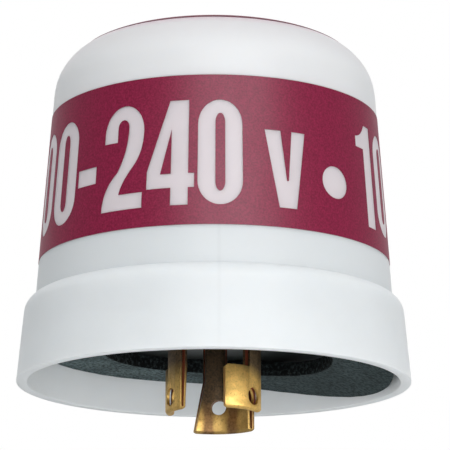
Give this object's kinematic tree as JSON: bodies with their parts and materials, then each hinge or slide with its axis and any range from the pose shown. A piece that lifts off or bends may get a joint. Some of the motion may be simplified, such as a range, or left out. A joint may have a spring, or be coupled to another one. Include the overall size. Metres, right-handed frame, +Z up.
{
  "type": "photocell switch",
  "caption": "Twist-lock photocell switch: translucent domed cover with a printed band, black base, foam gasket and folded brass locking blades.",
  "frame": {"origin": "middle of the plane of the skirt's rim, on the cover's axis", "axes": "+Z up the cover's axis to the crown; the neutral blade stands towards +Y and the line and load blades towards -Y"},
  "size_m": [0.083, 0.083, 0.0833],
  "materials": {
    "cover_white": "translucent, satin",
    "print_maroon": "satin ink",
    "base_black": "satin",
    "foam_charcoal": "closed-cell foam, matt",
    "blade_brass": "rolled, dull",
    "screw_steel": "zinc plated",
    "board_green": "satin",
    "relay_white": "satin",
    "arrester_blue": "epoxy coat",
    "film_grey": "satin",
    "can_black": "sleeved",
    "resistor_tan": "lacquered",
    "diode_black": "moulded",
    "zener_red": "clear",
    "cell_red": "coated",
    "holder_white": "moulded"
  },
  "bodies": {
    "root": {"cover": "cover_white", "printed_band": "print_maroon", "printed_top": "print_maroon", "base": "base_black", "gasket": "foam_charcoal", "line_blade": "blade_brass", "load_blade": "blade_brass", "neutral_blade": "blade_brass", "blade_screws": "screw_steel", "circuit_board": "board_green", "board_screws": "screw_steel", "relay": "relay_white", "surge_arrester": "arrester_blue", "dropper_capacitor": "film_grey", "smoothing_capacitor": "can_black", "dropper_resistor": "resistor_tan", "bleed_resistor": "resistor_tan", "rectifier_diodes": "diode_black", "zener_diode": "zener_red", "relay_transistor": "diode_black", "sensor_holder": "holder_white", "photocell": "cell_red"}
  },
  "joints": []
}
